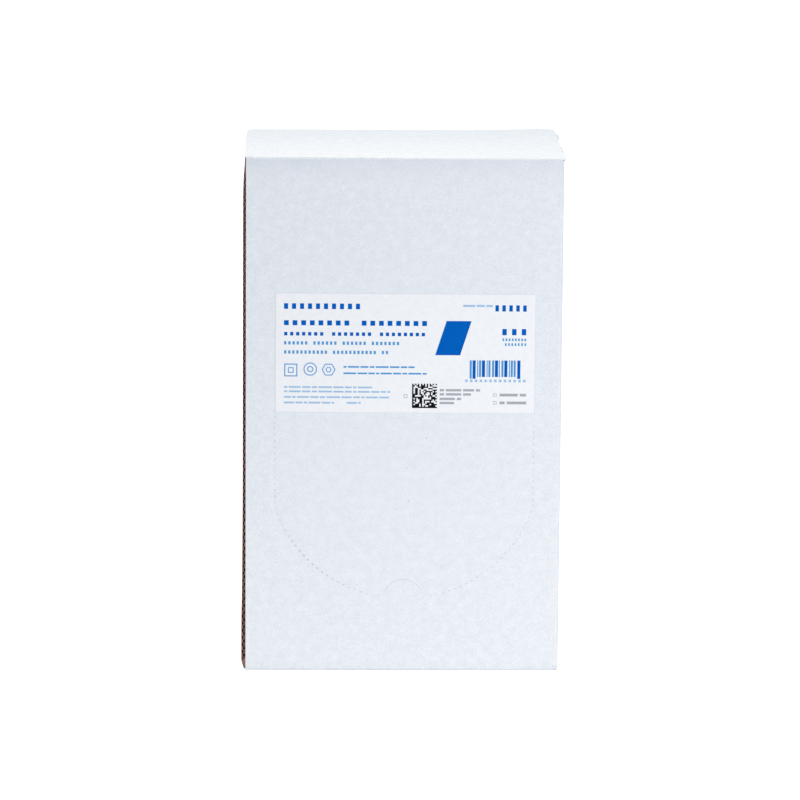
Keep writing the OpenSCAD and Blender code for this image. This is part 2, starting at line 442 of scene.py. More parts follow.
label_paper = make_coated_paper("coated_label_paper", "#F4F7FC", "#EFF3FA", 2.0, 0.55, 0.25)
# Painted shadow: a grey sheet that shows just beyond the label's edge, standing for the edge's shadow.
label_edge_shadow = make_coated_paper("painted_label_edge_shadow", "#B9BDC8", "#A6ABB8", 0.5, 0.7)
blue_ink = make_coated_paper("blue_label_ink", "#0064C4", "#005BBA", 0.8, 0.45, 0.02)
blue_type = make_coated_paper("blue_type_tone", "#579FDB", "#4A95D5", 0.5, 0.5, 0.05)
pale_type = make_coated_paper("pale_type_tone", "#A9C9E8", "#9BC0E4", 0.5, 0.5)
black_ink = make_coated_paper("black_label_ink", "#14151C", "#0C0D12", 0.6, 0.6, 0.02)
grey_type = make_coated_paper("grey_type_tone", "#B2B4BE", "#A3A6B2", 0.5, 0.5)
print("label materials ready")

# %% [markdown]
# ## The walls
#
# The four walls are one sheet that goes round the carton and meets itself at the front left
# corner. Seen from above its outline is a closed loop, and the wall is that loop carried up. The
# loop has real folds, and beside the front panel it steps back into the raw edge: two thin
# liners with an open channel between them. Near the top and foot each column of the loop rolls
# in by its own amount, because the front ends in a crease and the others go round a shoulder.

# %% Outline of the walls, seen from above
channel_depth = 7.0     # how far the open channel of the raw edge goes in


def bend(centre, radius, first_deg, last_deg):
    """Points round a folded corner, and their directions inwards, which are to its centre."""
    points = arc(centre, radius, first_deg, last_deg, 9)
    return points, (np.array(centre) - points) / radius


def straight(start, end, count, inward):
    """Points between two corners, and their one direction inwards."""
    points = line(start, end, count)[1:-1]
    return points, np.tile(inward, (len(points), 1))


def wall_loop():
    """The loop, anticlockwise from above: its points, their inward directions and channel depths."""
    edge_x = [left, left + liner, left + liner, panel_left - liner, panel_left - liner]
    edge_depth = [0, 0, channel_depth, channel_depth, 0]
    edge_points = len(edge_x)
    runs = [
        bend((panel_left + glued_fold, raw_edge), glued_fold, 180, 270),
        straight((panel_left + glued_fold, front), (right - fold, front), 61, (0, 1)),
        bend((right - fold, front + fold), fold, 270, 360),
        straight((right, front + fold), (right, back - fold), 31, (-1, 0)),
        bend((right - fold, back - fold), fold, 0, 90),
        straight((right - fold, back), (left + fold, back), 41, (0, -1)),
        bend((left + fold, back - fold), fold, 90, 180),
        straight((left, back - fold), (left, raw_edge), 41, (1, 0)),
        (np.stack([edge_x, np.full(edge_points, raw_edge)], axis=1), np.tile((1, 0), (edge_points, 1))),
    ]
    points, inward = (np.concatenate(part) for part in zip(*runs))
    return points, inward, np.concatenate([np.zeros(len(points) - edge_points), edge_depth])


loop, loop_inward, loop_depth = wall_loop()
in_left_wall = loop[:, 0] < panel_left + hair    # its raw edge included
print(f"wall loop: {len(loop)} points")

# %% How each column of the walls ends
straight_rows, end_rows = 46, 8
shoulder = 1.8             # radius of the shoulder where a wall folds in under the flap
crease_roll = (0.15, 0.5)  # how far the front's crease rolls in and down instead
corner_roll = (0.2, 0.4)   # and how far the left wall's front corner does
crease_rise = 0.85         # the front panel's crease stands this far above the other walls
lip_rise = 1.15            # the corner of the left wall stands up under the flap's liner
tucked = (0.7, 3.0)        # how far in under the flap the last two rows of a wall go
inner_flap_edge = 20       # depth at which the inner flap, hinged on the back wall, ends


def wall_ends():
    """Height above wall_top, roll inwards and roll height for each column of the loop."""
    y = loop[:, 1]
    frontness = smooth_step(-y, -(front + fold), -front - 0.3)
    at_corner = in_left_wall * (1 - smooth_step(y, raw_edge, raw_edge + 5))
    beside_inner_flap = smooth_step(y, inner_flap_edge - 8, inner_flap_edge) * (y < back - hair)
    beside_inner_flap = beside_inner_flap * (1 - smooth_step(y, back - fold, back - 0.2))
    rise = crease_rise * frontness * (1 - at_corner) + lip_rise * at_corner - board * beside_inner_flap
    rolls = []
    for at_crease, at_lip in zip(crease_roll, corner_roll):
        roll = shoulder + (at_crease - shoulder) * frontness
        rolls.append(roll + (at_lip - roll) * at_corner)
    return rise, *rolls


wall_rise, wall_roll, wall_roll_height = wall_ends()

# %% The walls, with their raw edge
closing = {1: 10, -1: 6}    # the channel closes in the last millimetres below the top and above the foot
pale_top, pale_foot = 7, 4  # lengths at the ends of the raw edge, where the channel closes, that get the pale cut kraft, partly painted light
edge_faces = 5              # the loop's last faces: the outer liner's cut, the channel, the inner's cut
most_closed = 0.93          # how much of the channel's depth is closed off there
most_inset = 0.85           # share of the left wall's thickness that its rolled end may take
no_limit = 99


def half_walls(side):
    """Rows from mid height to one end: straight, then a quarter ellipse, then in under the flap.

    side is 1 for the top and -1 for the foot. Shares 0 to 1 carry each row up its own column.
    Beside the raw edge no row may reach through the wall, so there its inset is held back.
    """
    end = wall_top if side > 0 else wall_foot
    tall = end + side * (wall_rise - wall_roll_height)
    share = np.sin(np.linspace(0, pi / 2, straight_rows))[:, None]
    straight = mid_height + share * (tall - mid_height)
    angle = np.linspace(0, pi / 2, end_rows)[1:, None]
    rounded = tall + side * wall_roll_height * np.sin(angle)
    inset = np.concatenate([np.zeros_like(straight), wall_roll * (1 - np.cos(angle))])
    height = np.concatenate([straight, rounded])
    lowered = end + side * np.minimum(wall_rise, 0)
    height = np.concatenate([height, np.stack([(height[-1] + lowered) / 2, lowered])])
    inset = np.concatenate([inset, [wall_roll + tuck for tuck in tucked]])
    beside_raw_edge = in_left_wall * (1 - smooth_step(loop[:, 1], raw_edge, raw_edge + 9))
    most = most_inset * (panel_left - loop[:, 0]) * beside_raw_edge + no_limit * (1 - beside_raw_edge)
    inset = np.minimum(inset, most)
    closed_from, closed_at = side * end - closing[side], side * end - closing[side] / 2
    open_channel = 1 - most_closed * smooth_step(side * height, closed_from, closed_at)
    open_channel[-2:] = 0
    x = loop[:, 0] + inset * loop_inward[:, 0]
    y = loop[:, 1] + inset * loop_inward[:, 1] + loop_depth * open_channel
    return np.stack([x, y, height], axis=-1)


def walls_shape():
    """The loop carried up the carton, closed at both ends by a fan of faces under the flaps.

    With the points and faces goes each face's paper: 0 white, 1 brown, painted dark as shade,
    or 2 cut, paler and partly painted light.
    """
    upper, lower = half_walls(1), half_walls(-1)
    rings = np.concatenate([lower[:0:-1], upper])
    rows, columns = rings.shape[:2]
    skin = grid_faces(rows, columns, ring=True)
    this = np.arange(columns)
    after = (this + 1) % columns
    last = (rows - 1) * columns
    hub_foot, hub_top = rows * columns, rows * columns + 1
    foot_fan = np.stack([after, this, np.full(columns, hub_foot)], axis=1)
    top_fan = np.stack([last + this, last + after, np.full(columns, hub_top)], axis=1)
    points = np.concatenate([rings.reshape(-1, 3), [[0, 0, wall_foot], [0, 0, wall_top]]])
    in_raw_edge = this >= columns - edge_faces
    height = rings[:-1, :, 2]
    at_ends = (height > wall_top - pale_top) | (height < wall_foot + pale_foot)
    cut = (this == columns - edge_faces) | at_ends
    papers = np.where(in_raw_edge, np.where(cut, 2, 1), 0)
    papers = np.concatenate([papers.ravel(), np.ones(2 * columns, int)])
    return points, skin.tolist() + foot_fan.tolist() + top_fan.tolist(), papers


wall_points, wall_faces, wall_papers = walls_shape()
piece("board_walls", (wall_points, wall_faces), [white_liner, shaded_kraft, cut_and_lit_kraft],
      stands_for="carton", material_of_face=wall_papers)

# %% [markdown]
# ## The waved sheet in the raw edge
#
# Between the two liners of the left wall runs the waved sheet. Its flutes lie level, so the raw
# edge shows the wave itself: a sine going up the corner, touching one liner and then the other.
# It could be a striped texture, but the hollows would then stay bright. A real sheet in a real
# channel lets the light fade as it goes in, and the dark kraft inside adds painted shade to it.

# %% Waved sheet of the left wall
steps_per_wave = 12
wave_from, wave_to = foot + 0.6, wall_top + lip_rise - 0.15    # it stops short of both ends
set_back = 0.05         # its edge lies this far behind the edges of the liners


def wave_sheet(along):
    """Height of the sheet's middle, and the shifts along and up from there to its faces.

    The height is swing times cos(2 pi s / pitch), where s is the distance along the board. The
    slope of the wave turns the sheet's thickness, so that it lies square to its own surface.
    """
    phase = 2 * pi * along / flute_pitch
    slope = -wave_swing * 2 * pi / flute_pitch * np.sin(phase)
    half_thick = sheet_thickness / 2 / np.sqrt(1 + slope ** 2)
    return wave_swing * np.cos(phase), -slope * half_thick, half_thick


def raw_edge_wave():
    """The waved sheet, up the whole raw edge and a few millimetres into the wall."""
    z = np.linspace(wave_from, wave_to, int((wave_to - wave_from) / flute_pitch * steps_per_wave))[:, None]
    y = raw_edge + set_back + np.array([[0.0, 1.0, 2.5, channel_depth - 0.1]])
    height, shift_z, shift_x = wave_sheet(z)
    middle = (left + panel_left) / 2
    faces = []
    for sign in (-1, 1):
        x = middle - height + sign * shift_x
        grid = np.stack(np.broadcast_arrays(x, y, z - sign * shift_z), axis=-1)
        faces.append(grid[:, ::-1])
    return slab(*faces)


wave_points, wave_faces = raw_edge_wave()
# Painted light and shade: the faces that look out of the raw edge get the paler kraft, and the rest the dark
# one.
faces_front = (wave_points[wave_faces][..., 1] < raw_edge + 2 * set_back).all(axis=1)
piece("raw_edge_fluting", (wave_points, wave_faces), [shaded_kraft, cut_and_lit_kraft],
      material_of_face=faces_front, sharp_deg=80)

# %% [markdown]
# ## The flaps
#
# The top and bottom flaps are made alike: each is a piece of board with its own outer liner, waved
# sheet and inner liner, cut square at the sides and a little narrower towards its free edge. Only
# the outer liner goes over the fold, where it forms a small bead before it turns down to the
# crease beside the front panel. On the right the knife was dull and tore small notches into the
# white, and the liner's brown core shows in them. So each flap is four slabs, the white, its
# core, the waved sheet and the inner liner, and they lie apart the way the real layers do.

# %% Outline of a flap
flap_left, flap_right = left + 0.83, right + 0.45   # the top flap's sides at the fold
bottom_flap_right = right - 0.3        # the bottom flap's right side
pressed_out = 0.42                     # the top flap's front half is pressed out this far on the right
flap_free_edge = back - 0.8            # where the flap stops, short of the back
left_draft, right_draft = 0.2, 0.75    # how far the sides have come in where the taper starts
left_taper, right_taper = 0.6, 0.5     # and how far the taper brings them in after that
flap_taper_length = 25
left_corner, right_corner = 4.2, 1.3   # radii of its two free corners


def side_trim(y, draft, taper, corner):
    """How far one side of the flap has come in at depth y: an even draft, a taper and a round corner.

    What the corner, of radius r, takes off is r - sqrt(r² - d²), where d is how far y has gone
    past the corner's centre.
    """
    y = np.clip(y, front, flap_free_edge)
    taper_start = flap_free_edge - flap_taper_length
    drafted = draft * np.clip((y - front) / (taper_start - front), 0, 1)
    tapered = taper * np.clip((y - taper_start) / flap_taper_length, 0, 1)
    past = np.clip(y - (flap_free_edge - corner), 0, corner)
    return drafted + tapered + corner - np.sqrt(corner ** 2 - past ** 2)


def flap_rows(start):
    """Depths from start to the free edge, crowded at the round corners."""
    along = np.linspace(start, flap_free_edge - left_corner, 64)[:-1]
    corner = flap_free_edge - left_corner * (1 - np.sin(np.linspace(0, pi / 2, 16)))
    return np.concatenate([along, corner])


# %% Layers of a flap
bead = 0.45             # radius of the bead at the fold
bead_proud = 0.16       # how far the bead stands in front of the panel
under_inset = 0.75      # the layers under the liner stop this far in on the left, beside the wall's corner
core_inset = (0.1, 0.07, 0.1)   # how far the core stops short of the white on the left, right and back
core_depth, core_thickness = 0.04, 0.16
notch_pitch = 11        # distance between the torn notches
notches_at, notches_spread = -18, 12    # depth where they are deepest, and how fast they die out
notch_depth, cut_loss = 0.6, 0.03       # the deepest notch, and what the cut takes off everywhere
short, short_at_fold = 0.12, 0.4        # how far the layers beneath stop short, and how much more at the fold


def flap_columns(side, y, left_trim, right_trim, count=61):
    """Grid of x across the flap for rows at depth y, with a little trimmed off at either side."""
    pressed = pressed_out * (1 - smooth_step(y, -12, 4))
    right_side = flap_right + pressed if side > 0 else bottom_flap_right
    low = flap_left + side_trim(y, left_draft, left_taper, left_corner) + left_trim
    high = right_side - side_trim(y, right_draft, right_taper, right_corner) - right_trim
    return low[:, None] + (high - low)[:, None] * eased(count)


def ragged(y):
    """What the torn knife cut leaves off the white liner on the right: a few round notches.

    They are the upper halves of a cosine under a bell curve, so they die out on either side.
    """
    humps = np.clip(np.cos(2 * pi * y / notch_pitch), 0, 1)
    return cut_loss + notch_depth * humps * np.exp(-((y - notches_at) / notches_spread) ** 2)


def crushed(y):
    """How far the layers under the liner stop short of it on the right, in a smooth step."""
    return short + short_at_fold * (1 - smooth_step(y, front + 4, front + 12))


def place_layer(side, y, depth, x):
    """A layer's points: depth is measured in from the outside face, and side picks top or foot."""
    z = (top - depth) if side > 0 else (foot + depth)
    return np.stack([x, y + 0 * x, z + 0 * x], axis=-1)


def facing_out(side, outer, inner):
    """A slab whose faces point out at the top, and its mirror image at the foot."""
    if side > 0:
        return slab(outer, inner)
    return slab(outer[:, ::-1], inner[:, ::-1])


def outer_liner(side):
    """The liner: flat from the free edge, over a bead at the fold, and down into the crease.

    Its path in depth and height is a straight run and then an arc of the bead's radius.
    """
    rows = flap_rows(front + bead)
    centre = front - bead_proud + bead
    turn = np.radians(np.linspace(-75, 90, 14))[:-1]
    path_y = np.concatenate([centre - bead * np.cos(turn), rows])
    path_depth = np.concatenate([bead - bead * np.sin(turn), np.zeros(len(rows))])
    inner_y = np.concatenate([centre - (bead - liner) * np.cos(turn), rows])
    inner_depth = np.concatenate([bead - (bead - liner) * np.sin(turn), np.full(len(rows), liner)])
    depth = np.concatenate([np.full(len(turn), front), rows])
    x = flap_columns(side, depth, 0.0, ragged(depth))
    outer = place_layer(side, path_y[:, None], path_depth[:, None], x)
    inner = place_layer(side, inner_y[:, None], inner_depth[:, None], x)
    return facing_out(side, outer, inner)


def flat_layer(side, y, x, depth, thick=liner):
    """A flat sheet whose outside face lies at this depth under the end of the carton."""
    outer = place_layer(side, y[:, None], depth, x)
    inner = place_layer(side, y[:, None], depth + thick, x)
    return facing_out(side, outer, inner)


def waved_layer(side, start, end, columns, depth):
    """The waved sheet, its middle at this depth and its flutes running from side to side.

    columns gives the grid of x for rows at depths y. Each face of the sheet is half its thickness
    from the middle, along the surface's normal.
    """
    y = np.linspace(start, end, int((end - start) / flute_pitch * steps_per_wave))
    x = columns(y)
    height, shift_y, shift_up = wave_sheet(y)
    faces = []
    for sign in (1, -1):
        face_y = y + sign * shift_y
        face_depth = depth - height - sign * shift_up
        faces.append(place_layer(side, face_y[:, None], face_depth[:, None], x))
    return facing_out(side, *faces)


def liner_core(side):
    """The brown core inside the liner, a little smaller than it all round except at the fold."""
    from_left, from_right, from_back = core_inset
    rows = flap_rows(front + fold)
    rows = rows - from_back * (rows - front) / (flap_free_edge - front)
    columns = flap_columns(side, rows, from_left, from_right)
    return flat_layer(side, rows, columns, core_depth, core_thickness)


# %% Both outer flaps, layer by layer
for side, end_name in ((1, "top"), (-1, "bottom")):
    rows = flap_rows(front + fold)
    columns = flap_columns(side, rows, under_inset, crushed(rows) + 0.1)
    fluting = waved_layer(side, front + fold, flap_free_edge - 0.3,
                          lambda y: flap_columns(side, y, under_inset, crushed(y), count=25), board / 2)
    layers = {  # each layer's shape, its paper, and the angle past which its shading breaks
        "liner": (outer_liner(side), white_liner, 55),
        "liner_core": (liner_core(side), cut_and_lit_kraft, 40),
        "fluting": (fluting, shaded_kraft, 80),
        "inner_liner": (flat_layer(side, rows, columns, board - liner), shaded_kraft, 40),
    }
    for layer_name, (layer, paper, sharp_deg) in layers.items():
        piece(f"{end_name}_flap_{layer_name}", layer, [paper], sharp_deg=sharp_deg)

# %% [markdown]
# ## The inner flaps
#
# Under each outer flap lies a shorter one that hinges on the back wall. Its white side faces out
# as well, and it was not folded quite square, so it peeps out beyond the outer flap on the right.
# That thin step is easy to leave out, and the corner would then look moulded and not folded.

# %% Inner flaps
inner_flap_depth = board + 0.04                   # its outside face, just under the outer flap
inner_flap_sides = (left + 1.6, right + 1.05)
inner_flap_back = back - 1.0                      # it meets the back wall's shoulder here
inner_flap_corner = 5.0                           # radius of the corners of its free edge
hinge_trim = 1.5                                  # how far its sides are drawn in at the hinge
crowding = 1.6                                    # its rows crowd at its free edge by this power
fluting_inset, underside_inset = 2.3, 2.4         # how far its brown layers stop short of the white one


def inner_flap_columns(y, inset=0.0):
    """Grid of x across the inner flap, with round corners at its free edge as on the outer flap."""
    past = np.clip(inner_flap_edge + inner_flap_corner - y, 0, inner_flap_corner)
    trimmed = inset + inner_flap_corner - np.sqrt(inner_flap_corner ** 2 - past ** 2)
    trimmed = trimmed + hinge_trim * smooth_step(y, 34, 41)
    low = (inner_flap_sides[0] + trimmed)[:, None]
    high = (inner_flap_sides[1] - trimmed)[:, None]
    return low + (high - low) * eased(31)


for side, end_name in ((1, "top"), (-1, "bottom")):
    liners = {
        "liner": (white_liner, inner_flap_depth, 0.0),
        "underside": (shaded_kraft, inner_flap_depth + board - liner, underside_inset),
    }
    for layer_name, (paper, depth, inset) in liners.items():
        start = inner_flap_edge + inset
        rows = start + (inner_flap_back - start) * np.linspace(0, 1, 30) ** crowding
        layer = flat_layer(side, rows, inner_flap_columns(rows, inset), depth)
        piece(f"{end_name}_inner_flap_{layer_name}", layer, [paper])
    fluting = waved_layer(side, inner_flap_edge + fluting_inset + 0.3, inner_flap_back,
                          lambda y: inner_flap_columns(y, fluting_inset), inner_flap_depth + board / 2)
    piece(f"{end_name}_inner_flap_fluting", fluting, [shaded_kraft], sharp_deg=80)

# %% [markdown]
# ## The door's knife cuts
#
# The dispensing door is marked by a row of short knife cuts: down one side, round the bottom in a
# shallow arc, and up the other side. A rule pressed each one through, so the cut is closed up
# again and what shows is a slit with a slightly raised lip on each side, where a little of the
# brown layer comes through. The pinkish grey along each slit is partly that brown and partly
# painted shade of the slit. Each cut is a small boat-shaped shell laid on the panel, and the rows
# are worked out from distances along the path.

# %% Path of the door's edge
door_shift = 0.61       # the door sits this far right of the panel's middle
door_half = 61.5        # half the door's width
door_side = 45.4        # length of each upright row of cuts
door_bow = 45.2         # height of the arc
cut_pitch = 2.985       # distance from one cut to the next
cut_length = 1.55
first_cut = {1: -1.1, -1: 0.24}   # middle of each row's first cut, below the label's foot
thumb_radius = 9.3
thumb_lift = 3.2        # the ends of the thumb cut are this far above the arc's foot
thumb_clear = 1.1       # gap between the thumb cut and the nearest cut

door_mid = panel_mid + door_shift
door_arc_top = label_low[2] - door_side
door_radius = (door_half ** 2 + door_bow ** 2) / (2 * door_bow)
door_centre_z = door_arc_top - door_bow + door_radius
arc_half_angle = np.arccos((door_radius - door_bow) / door_radius)
thumb_half_angle = np.arcsin((thumb_radius + thumb_clear) / door_radius)
print(f"door radius {door_radius:.1f} mm, foot at {door_arc_top - door_bow:.1f} mm")


def door_path(distance):
    """Place and heading of points this far along the left half: down the side, then round the arc.

    On the arc the angle from straight down is the half angle less (distance - side) / radius.
    """
    on_arc = distance > door_side
    angle = arc_half_angle - (distance - door_side) / door_radius
    x = np.where(on_arc, -door_radius * np.sin(angle), -door_half)
    z = np.where(on_arc, door_centre_z - door_radius * np.cos(angle), label_low[2] - distance)
    heading_x = np.where(on_arc, np.cos(angle), 0)
    heading_z = np.where(on_arc, -np.sin(angle), -1)
    return np.stack([x, z], axis=-1), np.stack([heading_x, heading_z], axis=-1)


# %% Lips of a cut
cut_half_width, thumb_half_width = 0.34, 0.26
lip_height = 0.03
groove = 0.022
sunk = 0.05             # how far the shell reaches into the panel, so that no light passes under
nearly = 0.999          # the shell ends just short of a point, where its faces would have no area


def lips(centre, heading, share, half_width):
    """A grid across a cut: rows go along it and columns across, from one foot of the lip to the other.

    The height is lip times (1 - b²) less a groove exp(-(b / 0.3)²), where b runs from -1 to 1. The
    strength of the cut's tint, brown layer and painted shade, is exp(-(b / 0.5)²). Both shrink by sqrt(1 -
    s²) towards the ends.
    """
    across = np.linspace(-1, 1, 9)
    taper = np.sqrt(np.clip(1 - share ** 2, 0, 1))[..., None]
    normal = np.stack([heading[..., 1], -heading[..., 0]], axis=-1)
    reach = across * half_width * taper
    plan = centre[..., None, :] + reach[..., None] * normal[..., None, :]
    rise = (lip_height * (1 - across ** 2) - groove * np.exp(-(across / 0.3) ** 2)) * taper
    outer = np.stack([plan[..., 0], front - rise, plan[..., 1]], axis=-1)
    inner = np.stack([plan[..., 0], front + sunk + 0 * rise, plan[..., 1]], axis=-1)
    strength = np.exp(-(across / 0.5) ** 2) * taper
    return outer, inner, strength


# %% Both rows of cuts, and the thumb cut
brown_and_shade_least, brown_and_shade_more = 0.42, 0.33     # how much of the pinkish grey, brown layer and painted slit shade, a cut shows, and what chance adds
brown_and_shade_thumb = 0.45
bitten, bitten_at, bitten_spread = 0.9, 76, 14   # the rule bit harder there, so far down the left row


def door_cuts():
    """Every cut of both rows, each a closed shell of its own, and the strength of its tint at each point.

    Some went through more cleanly than others: what cut n shows is 0.42 + 0.33 |sin(12.9 n)|. Where
    the left side's arc starts the rule bit harder, which adds a bell curve along the row.
    """
    length = door_side + (arc_half_angle - thumb_half_angle) * door_radius
    share = np.linspace(-1, 1, 9)
    shapes, strengths = [], []
    for mirror in (1, -1):
        for n, middle in enumerate(np.arange(first_cut[mirror], length - cut_length / 2, cut_pitch)):
            centre, heading = door_path(middle + share * cut_length / 2)
            centre = centre * (mirror, 1) + (door_mid, 0)
            outer, inner, strength = lips(centre, heading * (mirror, 1), share * nearly, cut_half_width)
            shown = brown_and_shade_least + brown_and_shade_more * abs(np.sin(12.9 * n))
            if mirror > 0:
                outer, inner, strength = outer[:, ::-1], inner[:, ::-1], strength[:, ::-1]
                shown = shown + bitten * np.exp(-((middle - bitten_at) / bitten_spread) ** 2)
            shapes.append(slab(outer, inner))
            strengths.append(shown * np.concatenate([strength.ravel(), strength.ravel()]))
    return together(shapes), np.concatenate(strengths)


def thumb_cut():
    """The half-moon cut: an arc round the door's foot that stops a little above the row of cuts."""
    centre_z = door_arc_top - door_bow
    end_angle = np.arcsin(thumb_lift / thumb_radius)
    angle = np.linspace(pi - end_angle, end_angle, 61)
    x = door_mid + thumb_radius * np.cos(angle)
    z = centre_z + thumb_radius * np.sin(angle)
    heading = np.stack([np.sin(angle), -np.cos(angle)], axis=-1)
    share = np.linspace(-1, 1, 61) * nearly
    tapered_late = np.sign(share) * np.abs(share) ** 8
    outer, inner, strength = lips(np.stack([x, z], axis=-1), heading, tapered_late, thumb_half_width)
    shape = slab(outer[:, ::-1], inner[:, ::-1])
    return shape, brown_and_shade_thumb * np.concatenate([strength[:, ::-1].ravel()] * 2)


# %% Liner with a pinkish grey in the cuts, brown layer and painted shade, and both pieces
def brown_and_shade_tint(tree, colour):
    """Mixes a pinkish grey into the middle of a cut: partly the brown layer, partly painted shade of the
    slit.
    """
    strength = add_node(tree, "ShaderNodeAttribute", {"attribute_name": "cut"}).outputs["Fac"]
    return add_node(tree, "ShaderNodeMix", of_colours, _0=strength, _6=colour, _7=linear("#B4A4BC"))


cut_liner = make_white_liner("knife_cut_liner", brown_and_shade_tint)


def with_cut_strength(made, strength):
    """Stores how strong the cut's pinkish grey, brown layer and painted shade, is at each point, for the
    material to read.
    """
    attribute = made.data.attributes.new("cut", "FLOAT", "POINT")
    attribute.data.foreach_set("value", strength.astype(np.float32))


for name, (shape, strength) in (("door_cuts", door_cuts()), ("thumb_cut", thumb_cut())):
    with_cut_strength(piece(name, shape, [cut_liner]), strength)

# %% [markdown]
# ## The label
#
# A label is a thin slab with round corners, pressed on so that it follows the panel. Only its
# edge gives its thickness away, so the edge is real: a tenth of a millimetre with a soft rim that
# catches the light. A thin grey sheet just beyond the edge, widest on the left, is painted shadow
# of that edge. The print is kept to plain bars, stripes and squares, since this carton carries
# nobody's name.

# %% Label sheet
label_corner = 0.9      # radius of its corners
label_rim = 0.05        # how far its soft rim falls back
rim_width = 0.3
cut_wide = 0.15         # it was cut this much wide on the left
edge_shadow_reach = (0.29, 0.06, 0.07, 0.06)    # how far the painted shadow reaches past the label on the left, right, foot and top
label_front = label_low[1]
label_width = label_high[0] - label_low[0]
label_height = label_high[2] - label_low[2]
label_raised = 0.14     # it was put on this much high
label_askew = -0.0026   # and turned: this many millimetres up for each one to the right


def on_label(x, z):
    """World x and z of a place measured from the lower left corner of the label, which is askew."""
    return label_low[0] + x, label_low[2] + z + label_raised + label_askew * (x - label_width / 2)


def label_shape(grown, rim, outside, inside):
    """A rectangle grown by so much on the left, right, foot and top, between two depths.

    Its half width shrinks near the ends by r - sqrt(r² - d²), where d is how far the height has
    gone past a corner's centre, and its rim falls back in a smooth step.
    """
    low_x, high_x = -grown[0], label_width + grown[1]
    low_z, high_z = -grown[2], label_height + grown[3]
    rounding = label_corner * (1 - np.cos(np.linspace(0, pi / 2, 8)))
    between = np.linspace(low_z + label_corner, high_z - label_corner, 22)[1:-1]
    z = np.concatenate([low_z + rounding, between, high_z - rounding[::-1]])
    past = np.clip(np.maximum(low_z + label_corner - z, z - (high_z - label_corner)), 0, label_corner)
    taken = label_corner - np.sqrt(np.clip(label_corner ** 2 - past ** 2, 0, None))
    share = (2 * eased(51) - 1)[None, :]
    half = ((high_x - low_x) / 2 - taken)[:, None]
    x = (low_x + high_x) / 2 + share * half
    edge = np.minimum((1 - np.abs(share)) * half, np.minimum(z - low_z, high_z - z)[:, None])
    fallen = rim * (1 - smooth_step(edge, 0, rim_width))
    world_x, world_z = on_label(x, z[:, None])
    outer = np.stack([world_x, outside + fallen, world_z], axis=-1)
    inner = np.stack([world_x, inside + 0 * x, world_z], axis=-1)
    return slab(outer, inner)


sheet = label_shape((cut_wide, 0, 0, 0), label_rim, label_front, front - 0.005)
# Painted shadow: the grey sheet under the label's edge, grown past it, mostly on the left.
edge_shadow_sheet = label_shape(edge_shadow_reach, 0.0, front - 0.02, front + 0.03)
piece("label_sheet", sheet, [label_paper], stands_for="label")
piece("label_edge_painted_shadow", edge_shadow_sheet, [label_edge_shadow])

# %% Bars of ink
ink_film = 0.012    # thickness of the ink
patch_mesh = 3      # an ink patch has a row or column of points about this often, to follow the bow


def ink_patch(x0, x1, z0, z1, lean=0.0):
    """A film of ink between two heights, with its top moved sideways by lean.

    Its sizes are measured from the label's lower left corner.
    """
    columns = max(3, int((x1 - x0) / patch_mesh) + 2)
    rows = max(2, int((z1 - z0) / patch_mesh) + 2)
    up = np.linspace(0, 1, rows)[:, None]
    along = np.linspace(0, 1, columns)[None, :]
    x, z = on_label(x0 + (x1 - x0) * along + lean * up, z0 + (z1 - z0) * up)
    outer = np.stack([x, np.full_like(x, label_front - ink_film), z], axis=-1)
    inner = outer + np.array([0, ink_film * 1.5, 0])
    return slab(outer, inner)


def word_bars(x0, x1, z, height):
    """A line of type as bars the length of words: 2 to 8 letters each, in an order that repeats.

    The last bar goes on to the line's end where less than two letters would be left over.
    """
    letter = height * 0.95
    gap = height * 0.75
    bars, x, i = [], x0, 0
    while x < x1 - letter:
        letters = 2 + (i * 5 + int(z * 7)) % 7
        end = min(x + letters * letter, x1)
        if x1 - end < 2 * letter:
            end = x1
        bars.append(ink_patch(x, end, z - height / 2, z + height / 2))
        x = end + gap
        i += 1
    return bars


def letter_blocks(x0, x1, z, height, pitch, letters):
    """A line of spaced capitals as plain blocks, one for each letter and none after each word."""
    width = 0.54 * pitch
    count = round((x1 - x0 - width) / pitch) + 1
    starts = x0 + (x1 - x0 - width) * np.arange(count) / (count - 1)
    return [ink_patch(start, start + width, z - height / 2, z + height / 2)
            for i, start in enumerate(starts) if (i + 1) % (letters + 1) or i + 1 == count]


def ring_patch(centre_x, centre_z, radius, width, sides, turn_deg=0.0):
    """An outline with that many sides, or a circle with many: a film of ink between two loops."""
    a = np.radians(turn_deg) + 2 * pi * np.arange(sides) / sides
    unit = np.stack([np.cos(a), np.sin(a)], axis=-1)
    loops = [(radius, label_front + ink_film / 2), (radius, label_front - ink_film),
             (radius - width, label_front - ink_film), (radius - width, label_front + ink_film / 2)]
    rows = []
    for r, y in loops:
        x, z = on_label(centre_x + r * unit[:, 0], centre_z + r * unit[:, 1])
        rows.append(np.stack([x, np.full(sides, y), z], axis=-1))
    points = np.concatenate(rows + [rows[0]])
    faces = grid_faces(5, sides, ring=True)[:, ::-1]
    faces = np.where(faces >= 4 * sides, faces - 4 * sides, faces)
    return points[: 4 * sides], faces


